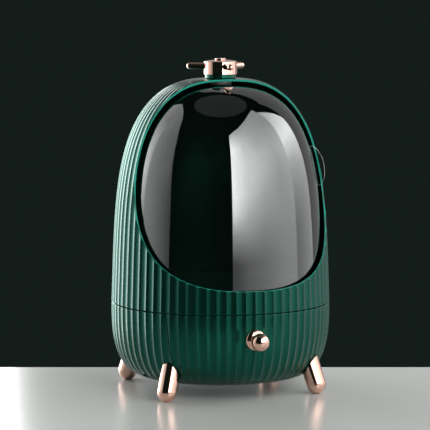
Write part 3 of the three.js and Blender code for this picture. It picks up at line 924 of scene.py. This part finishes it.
def smoke_visor():
    """Part of a turned dome between two edges, with a full ring round the pivot."""
    outer = dome_profile(visor_inset)
    above = [point for point in outer if point[1] > visor_foot_z]
    foot = (radius_at(outer, visor_foot_z), visor_foot_z)
    hub = (visor_hub_radius, height_at(outer, visor_hub_radius))
    profile = sorted([foot, *above, hub], key=lambda point: (-point[0], point[1]))
    profile.append((pivot_radius + gap, crown_z - visor_inset))
    visor = lathe("smoke_visor", profile, visor_steps)
    edit(visor, "DESELECT")
    bpy.ops.mesh.select_mode(type="FACE")
    done()
    for face in visor.data.polygons:
        x, y, _ = face.center
        azimuth = math.degrees(math.atan2(x, -y))
        within = visor_far_edge < azimuth < visor_tab_edge
        face.select = math.hypot(x, y) > visor_hub_radius and not within
    bpy.ops.object.mode_set(mode="EDIT")
    bpy.ops.mesh.delete(type="FACE")
    done()
    apply(visor, "SOLIDIFY", thickness=visor_thickness, offset=-1, use_even_offset=True)
    bevel(visor, visor_edge_round, above=50)
    finish(visor, smoke_acrylic, "visor", "visor_dome")


def finger_tab():
    """Half-disc fin on the visor's edge. Its sawn rim is paler than its polished sides."""
    tab_low, tab_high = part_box("visor_tab")
    tab_z = crown_z - tab_drop
    azimuth = math.atan2((tab_low.x + tab_high.x) / 2, axis_y - (tab_low.y + tab_high.y) / 2)
    profile = dome_profile(visor_inset)
    low = radius_at(profile, tab_z - tab_half_length)
    high = radius_at(profile, tab_z + tab_half_length)
    outline = []
    for i in range(tab_steps):
        turn = i / tab_steps * math.tau
        outline.append((-tab_thickness / 2, tab_reach * math.cos(turn), tab_half_length * math.sin(turn)))
    tab = prism("finger_tab", outline, (tab_thickness, 0, 0))
    bevel(tab, tab_edge_round, above=50)
    lean = math.atan2(low - high, 2 * tab_half_length)
    moved(tab, offset=(0, -(low + high) / 2, tab_z), tilt=-lean)
    inner = [(0, seam_z), *dome_profile(visor_inset - gap), (0, crown_z - visor_inset + gap)]
    boolean(tab, lathe("visor_form", inner, inner_steps), "DIFFERENCE")
    moved(tab, azimuth=azimuth)
    finish(tab, clear_acrylic, "visor", "visor_tab")
    tab.data.materials.append(acrylic_edge)
    side = Vector((math.cos(azimuth), math.sin(azimuth), 0))
    for face in tab.data.polygons:
        if abs(face.normal.dot(side)) < tab_side_share:
            face.material_index = 1


# Legs


def legs():
    """Splayed round legs with tops that fit the bowl, and a flat cut under each round foot."""
    curve = quadrant(leg_radius, leg_radius, 12)
    outline = [(across, -up) for across, up in reversed(curve)]
    outline += [(leg_radius, leg_length), (0, leg_length)]
    leg = on_leg_axis(lathe("leg", outline, 64))
    boolean(leg, bowl_form(), "DIFFERENCE")
    edit(leg)
    bpy.ops.mesh.bisect(plane_co=(0, 0, 0), plane_no=(0, 0, 1), threshold=weld, clear_inner=True,
                        use_fill=True)
    done()
    tip = leg_boss_seat - leg_screw_length
    boolean(leg, on_leg_axis(screw_hole(knob_screw_radius, tip - screw_skin, leg_length)), "DIFFERENCE")
    for corner, azimuth in zip(corners, leg_azimuths):
        twin = moved(copy_of(leg, f"rose_gold_leg_{corner}"), azimuth=math.radians(azimuth))
        finish(twin, rose_gold, "housing", f"leg_{corner}")
    bpy.data.objects.remove(leg)


# Pivot and star handle


def half_width(node):
    """Radius of a round upright node whose facets have corners in front and behind."""
    low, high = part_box(node)
    return (high.y - low.y) / 2


def round_ring(name, node, bore, edge):
    """A ring in the place of an upright round node, with rounded edges."""
    low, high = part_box(node)
    radius = half_width(node)
    outline = [(bore, low.z), (radius, low.z), (radius, high.z), (bore, high.z)]
    ring = lathe(name, outline, closed=True)
    bevel(ring, edge, segments=3)
    return ring


def thread(radius, start, end):
    """Outline of a screw thread between two heights, each turn as a ring."""
    turns = max(1, round(abs(end - start) / thread_pitch))
    step = (end - start) / turns
    points = []
    for turn in range(turns):
        root_z = start + step * turn
        points += [(radius * thread_root_share, root_z), (radius, root_z + step / 2)]
    return points


def hexagon(name, radius, bottom, top):
    """A hexagonal rod, turned so that two corners lie to the left and right."""
    return moved(rod(name, radius, bottom, top, sides=6), azimuth=math.pi / 6)


pivot_bore = pivot_radius + gap


def pivot_stack():
    """Spacer under the crown, and the washer and nut that hold the visor up."""
    spacer = round_ring("pivot_spacer_disc", "pivot_spacer", pivot_bore, spacer_edge)
    finish(spacer, grey_nylon, "housing", "pivot_spacer")
    washer = round_ring("pivot_washer_disc", "pivot_washer", pivot_bore, washer_edge)
    finish(washer, zinc_steel, "housing", "pivot_washer")
    low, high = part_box("pivot_nut")
    nut = hexagon("pivot_hexagon_nut", half_width("pivot_nut"), low.z, high.z)
    boolean(nut, rod("bore", pivot_bore, low.z - overrun, high.z + overrun), "DIFFERENCE")
    bevel(nut, hexagon_edge)
    finish(nut, zinc_steel, "housing", "pivot_nut")


def pivot_bolt():
    """Bolt down through the stack, threaded to just over its nut, with its head in the hub."""
    low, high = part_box("pivot_bolt")
    nut_top_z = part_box("pivot_nut")[1].z
    seat_z = high.z - pivot_head_height
    shank = [(0, low.z), (pivot_radius * thread_root_share, low.z)]
    shank += thread(pivot_radius, low.z + bolt_chamfer, nut_top_z)
    shank += [(pivot_radius, nut_top_z + bolt_thread_run), (pivot_radius, seat_z + gap), (0, seat_z + gap)]
    bolt = lathe("pivot_hexagon_bolt", shank, 32)
    head = hexagon("head", half_width("pivot_bolt"), seat_z, high.z)
    bevel(head, hexagon_edge)
    boolean(bolt, head, "UNION")
    finish(bolt, zinc_steel, "housing", "pivot_bolt")


arm_low, arm_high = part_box("handle_arm_front")
arm_radius = (arm_high.z - arm_low.z) / 2
arm_z = (arm_high.z + arm_low.z) / 2


def at_arm(piece, azimuth):
    """Turns a piece drawn upwards on the axis to point outwards along an arm."""
    moved(piece, offset=(0, 0, arm_z), tilt=math.pi / 2)
    return moved(piece, azimuth=math.radians(azimuth))


def handle_hub():
    """Domed hub on its green collar, with a socket for each arm and a recess for the cap."""
    collar = round_ring("green_collar", "handle_collar", pivot_bore, collar_edge)
    finish(collar, green_abs, "housing", "handle_collar")
    low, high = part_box("handle_hub")
    radius = half_width("handle_hub")
    shoulder_z = high.z - hub_dome_rise
    recess_z = low.z + hub_web
    dome = quadrant(radius - hub_recess_radius, hub_dome_rise, 12, hub_dome_power, hub_dome_power)
    outline = [(pivot_bore, low.z), (radius, low.z)]
    outline += [(hub_recess_radius + across, shoulder_z + up) for across, up in dome]
    outline += [(hub_recess_radius, recess_z), (pivot_bore, recess_z)]
    hub = lathe("star_hub", outline, closed=True)
    bevel(hub, hub_edge, segments=3, above=30)
    for azimuth in arm_azimuths.values():
        socket = rod("socket", arm_radius + gap, radius - arm_socket_depth, radius + overrun)
        boolean(hub, at_arm(socket, azimuth), "DIFFERENCE")
    finish(hub, rose_gold, "housing", "handle_hub", smooth=30)


def handle_arms():
    """Three round arms with ball ends."""
    root = axis_y - arm_high.y
    ball = axis_y - arm_low.y - arm_radius
    outline = [(0, root), (arm_radius, root)]
    outline += [(across, ball + up) for across, up in quadrant(arm_radius, arm_radius, 12)]
    for side, azimuth in arm_azimuths.items():
        arm = at_arm(lathe(f"star_arm_{side}", outline, 48), azimuth)
        finish(arm, rose_gold, "housing", f"handle_arm_{side}")


def handle_cap():
    """Small cap over the bolt's head, on a stem in the hub's recess."""
    low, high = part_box("handle_cap")
    radius = half_width("handle_cap")
    seat_z = low.z + cap_stem_length
    stem_radius = hub_recess_radius - gap
    outline = [(0, low.z), (stem_radius, low.z), (stem_radius, seat_z), (radius, seat_z)]
    outline += [(radius, high.z), (0, high.z)]
    cap = lathe("star_cap", outline, 64)
    bevel(cap, cap_edge, segments=3)
    finish(cap, rose_gold, "housing", "handle_cap")


# Screws


def screw(radius, head_radius, head_height, length):
    """Pan head screw with a cross recess: seat at height 0, tip up, head below."""
    half_width_of_recess = head_radius * recess_width_share / 2
    half_length = head_radius * recess_half_length_share
    recess_top = head_height * recess_depth_share - head_height
    crown = quadrant(head_radius, head_height, 8, head_power, head_power)
    outline = [(across, -up) for across, up in reversed(crown)]
    outline += [(radius, 0), *thread(radius, radius, length - radius), (0, length)]
    piece = lathe("screw", outline, 32)
    for half_x, half_y in ((half_length, half_width_of_recess), (half_width_of_recess, half_length)):
        low = (-half_x, -half_y, -head_height - overrun)
        boolean(piece, block("slot", low, (half_x, half_y, recess_top)), "DIFFERENCE")
    return piece


def casing_screws():
    """The screws under the shell's lugs and in the housing's posts, all with their heads down."""
    rows = [
        ("shell_screw", lug_circle_radius, lug_azimuths),
        ("base_screw", post_circle_radius, post_azimuths),
    ]
    for kind, circle_radius, azimuths in rows:
        low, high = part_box(f"{kind}_front_right")
        length = high.z - low.z - screw_head_height
        pattern = screw(screw_radius, screw_head_radius, screw_head_height, length)
        for corner, azimuth in zip(corners, azimuths):
            node = f"{kind}_{corner}"
            seat_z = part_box(node)[0].z + screw_head_height
            twin = copy_of(pattern, f"cross_{node}")
            moved(twin, offset=(0, -circle_radius, seat_z), azimuth=math.radians(azimuth))
            finish(twin, zinc_steel, "housing", node)
        bpy.data.objects.remove(pattern)


def leg_and_knob_screws():
    """The screws inside the housing: down into each leg, and out through the tray into the knob."""
    pattern = screw(knob_screw_radius, knob_screw_head_radius, knob_screw_head_height, leg_screw_length)
    moved(pattern, tilt=math.pi)
    moved(pattern, offset=(0, 0, leg_boss_seat + gap))
    on_leg_axis(pattern)
    for corner, azimuth in zip(corners, leg_azimuths):
        node = f"leg_screw_{corner}"
        twin = moved(copy_of(pattern, f"cross_{node}"), azimuth=math.radians(azimuth))
        finish(twin, zinc_steel, "housing", node)
    bpy.data.objects.remove(pattern)
    seat = axis_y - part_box("knob_screw")[1].y + knob_screw_head_height
    knob_screw = screw(knob_screw_radius, knob_screw_head_radius, knob_screw_head_height, knob_screw_length)
    knob_screw.name = "cross_knob_screw"
    moved(knob_screw, offset=(0, 0, seat))
    finish(at_knob(knob_screw), zinc_steel, "drawer", "knob_screw")


upper_shell()
cavity_floor()
lower_housing()
drawer_tray()
drawer_runner("left", -1)
drawer_runner("right", 1)
knob_flange()
knob_ball()
smoke_visor()
finger_tab()
legs()
pivot_stack()
pivot_bolt()
handle_hub()
handle_arms()
handle_cap()
casing_screws()
leg_and_knob_screws()


# Table top, lamps and camera

camera_azimuth = math.radians(-18)
camera_distance = 2.928
camera_height = 0.511
camera_pitch = math.radians(5.95)
camera_offset = -6.5 * mm
focal_share = 2473.4 / 430     # focal length over the picture's width, both in pixels
table_back = 0.1365
table_front = 0.55
table_half_width = 0.9
table_thickness = 0.03
table_edge_round = 1.5 * mm
table_cloud_size = 250 * mm
lamp_distance = 1.4
overhead_width = 1.7
overhead_height = 2.2
overhead_glow = 0.09


def beside_camera(right, forward, height):
    """A point given from the body's axis, as the camera sees it: to the right, away from it, and up."""
    turn = Matrix.Rotation(camera_azimuth, 4, "Z")
    return turn @ Vector((right, forward, height)) + Vector((0, axis_y, 0))


def sprayed_lacquer(name, colour):
    """Sprayed and rubbed down lacquer: an even colour with a soft, slightly cloudy gloss."""
    material, tree, place_on = new_material(name)
    scale = 1 / table_cloud_size
    cloud = add(tree, "ShaderNodeTexNoise", {"Scale": scale, "Detail": 2}, {"Vector": place_on})
    rough = add(tree, "ShaderNodeMapRange", {"To Min": 0.2, "To Max": 0.26}, {"Value": cloud.outputs["Fac"]})
    shader = add(tree, "ShaderNodeBsdfPrincipled", {"Base Color": linear(colour), "IOR": 1.5},
                 {"Roughness": rough.outputs["Result"]})
    add(tree, "ShaderNodeOutputMaterial", links={"Surface": shader.outputs["BSDF"]})
    return material


def table():
    """The pale slab that the feet stand on, square to the camera."""
    low = (-table_half_width, -table_front, -table_thickness)
    top = block("table", low, (table_half_width, table_back, 0))
    moved(top, azimuth=camera_azimuth)
    moved(top, offset=(0, axis_y, 0))
    bevel(top, table_edge_round, segments=4)
    top.data.materials.append(sprayed_lacquer("pale grey lacquer", "#c2c4c0"))


def level_ramp(tree, levels, bottom, height, peak, up):
    """A ramp up a lamp's height through (height, glow) pairs, as shares of its peak."""
    ramp = add(tree, "ShaderNodeValToRGB", links={"Fac": up})
    stops = ramp.color_ramp.elements
    stops.remove(stops[0])
    stops[0].position = 1
    for level, _ in levels[:-1]:
        stops.new((level - bottom) / height)
    stops[-1].position = (levels[-1][0] - bottom) / height
    for stop, (_, glow) in zip(stops, levels):
        share = glow / peak
        stop.color = (share, share, share, 1)
    return ramp.outputs["Color"]


def softbox(name, start, end, start_levels, end_levels):
    """An upright sheet of light between two azimuths, in degrees from the camera to its right.

    The levels are (height, glow) pairs up its start and its end. The glow fades from one side to the other,
    and the top slants between their last heights.
    """
    half = math.radians(end - start) / 2
    azimuth = math.radians(end + start) / 2
    distance = lamp_distance * math.cos(half)
    width = 2 * lamp_distance * math.sin(half)
    bottom = start_levels[0][0]
    tops = [start_levels[-1][0], end_levels[-1][0]]
    height = max(tops) - bottom
    peak = max(glow for _, glow in start_levels + end_levels)
    lamp = bpy.data.lights.new(name, "AREA")
    lamp.shape = "RECTANGLE"
    lamp.size = width
    lamp.size_y = height
    lamp.energy = peak * math.pi * width * height
    lamp.use_nodes = True
    tree = lamp.node_tree
    place_on = add(tree, "ShaderNodeNewGeometry").outputs["Parametric"]
    split = add(tree, "ShaderNodeSeparateXYZ", links={"Vector": place_on})
    along = split.outputs["X"]
    up = split.outputs["Y"]
    glow = add(tree, "ShaderNodeMix", {"data_type": "RGBA"}, {
        "Factor_Float": along,
        "A_Color": level_ramp(tree, start_levels, bottom, height, peak, up),
        "B_Color": level_ramp(tree, end_levels, bottom, height, peak, up),
    })
    slant = {"To Min": (tops[0] - bottom) / height, "To Max": (tops[1] - bottom) / height}
    edge = add(tree, "ShaderNodeMapRange", slant, {"Value": along})
    below_edge = {"Value": edge.outputs["Result"], "Value_001": up}
    lit = add(tree, "ShaderNodeMath", {"operation": "GREATER_THAN"}, below_edge)
    emission = tree.nodes["Emission"]
    tree.links.new(glow.outputs[mixed], emission.inputs["Color"])
    tree.links.new(lit.outputs["Value"], emission.inputs["Strength"])
    holder = new_object(name, lamp)
    middle = bottom + height / 2
    holder.location = beside_camera(distance * math.sin(azimuth), -distance * math.cos(azimuth), middle)
    holder.rotation_euler = (math.pi / 2, 0, camera_azimuth + azimuth)
    holder.visible_camera = False
    return holder


def overhead_softbox():
    """A dim disc over the body, seen in the handle and in the visor's crown."""
    lamp = bpy.data.lights.new("overhead_softbox", "AREA")
    lamp.shape = "DISK"
    lamp.size = overhead_width
    area = math.pi * (overhead_width / 2) ** 2
    lamp.energy = overhead_glow * math.pi * area
    holder = new_object("overhead_softbox", lamp)
    holder.location = beside_camera(0, 0, overhead_height)
    holder.visible_camera = False


def studio():
    """Walls of softboxes all round the body, but for a dark gap about the camera.

    Each row of a wall is an azimuth in degrees and (height, glow) pairs, with heights in metres.
    """
    world = bpy.data.worlds.new("dark studio")
    bpy.context.scene.world = world
    world.use_nodes = True
    background = world.node_tree.nodes["Background"]
    background.inputs["Color"].default_value = linear("#141d1a")
    right_wall = [
        (13, [(-0.4, 0.1), (0.1, 0.3), (0.2, 1.7), (0.32, 4.8), (0.45, 6.2), (1.1, 6.4), (1.6, 2.4)]),
        (18, [(-0.4, 0.15), (0.1, 0.35), (0.2, 1.8), (0.32, 4.3), (0.45, 5.3), (1.1, 5.5), (1.7, 2.2)]),
        (32, [(-0.4, 0.35), (0.1, 0.65), (0.22, 1.9), (0.45, 3.7), (0.8, 4.1), (1.95, 1.9)]),
        (50, [(-0.4, 0.6), (0.1, 0.9), (0.3, 1.9), (0.63, 3.1), (0.9, 3.1), (1.3, 2.3), (2.35, 1.6)]),
        (74, [(-0.4, 0.8), (0.1, 1.3), (0.3, 1.7), (0.55, 1.9), (0.9, 2.4), (1.6, 1.7), (2.75, 1.5)]),
        (92, [(-0.4, 0.8), (0.1, 1.3), (0.3, 1.7), (0.55, 2.1), (0.8, 2.7), (1.6, 1.5), (2.8, 1.4)]),
    ]
    rear_wall = [
        (92, [(-0.4, 0.6), (0.15, 0.75), (0.3, 1.15), (0.6, 2.2), (0.9, 4.6), (1.6, 2.4), (2.3, 1.8)]),
        (123, [(-0.4, 0.8), (0.12, 1.1), (0.25, 1.2), (0.5, 1.8), (0.9, 4), (1.1, 3.4)]),
    ]
    back_screen = [
        (123, [(-0.4, 0.35), (2.1, 0.35)]),
        (195, [(-0.4, 0.35), (2.1, 0.35)]),
    ]
    left_wall = [
        (-165, [(-0.4, 3), (0.2, 6), (0.5, 8), (0.8, 4), (1.1, 1.5), (1.3, 1)]),
        (-131, [(-0.4, 3), (0.2, 6), (0.5, 7), (0.8, 3.5), (1.1, 1.4), (1.35, 1.1)]),
        (-123, [(-0.4, 2.5), (0.2, 4.5), (0.5, 5.5), (0.8, 3), (1.1, 1.3), (2.2, 0.9)]),
        (-96, [(-0.4, 1.3), (0.25, 1.4), (0.5, 2), (0.95, 1.6), (1.4, 0.8), (2.3, 0.8)]),
    ]
    left_screen = [
        (-96, [(-0.4, 1.05), (0.6, 1.15), (2.3, 0.8)]),
        (-79, [(-0.4, 0.75), (0.6, 0.8), (1.95, 0.7)]),
        (-65, [(-0.4, 0.4), (0.36, 0.45), (0.6, 0.6), (1.2, 0.6)]),
        (-57, [(-0.4, 0.2), (0.3, 0.25)]),
    ]
    walls = {
        "right": right_wall,
        "rear": rear_wall,
        "back": back_screen,
        "left": left_wall,
        "left_screen": left_screen,
    }
    for wall_name, columns in walls.items():
        for (start, start_levels), (end, end_levels) in zip(columns, columns[1:]):
            lamp = softbox(f"{wall_name}_softbox_{start}", start, end, start_levels, end_levels)
            lamp.visible_transmission = wall_name != "back"     # it isn't seen through the clear tab
    overhead_softbox()


def camera():
    lens = bpy.data.cameras.new("camera")
    lens.sensor_width = 36
    lens.lens = lens.sensor_width * focal_share
    lens.clip_end = 20
    holder = new_object("camera", lens)
    holder.location = beside_camera(camera_offset, -camera_distance, camera_height)
    holder.rotation_euler = (math.pi / 2 - camera_pitch, 0, camera_azimuth)
    bpy.context.scene.camera = holder


table()
studio()
camera()
bpy.context.scene.view_settings.view_transform = "Standard"
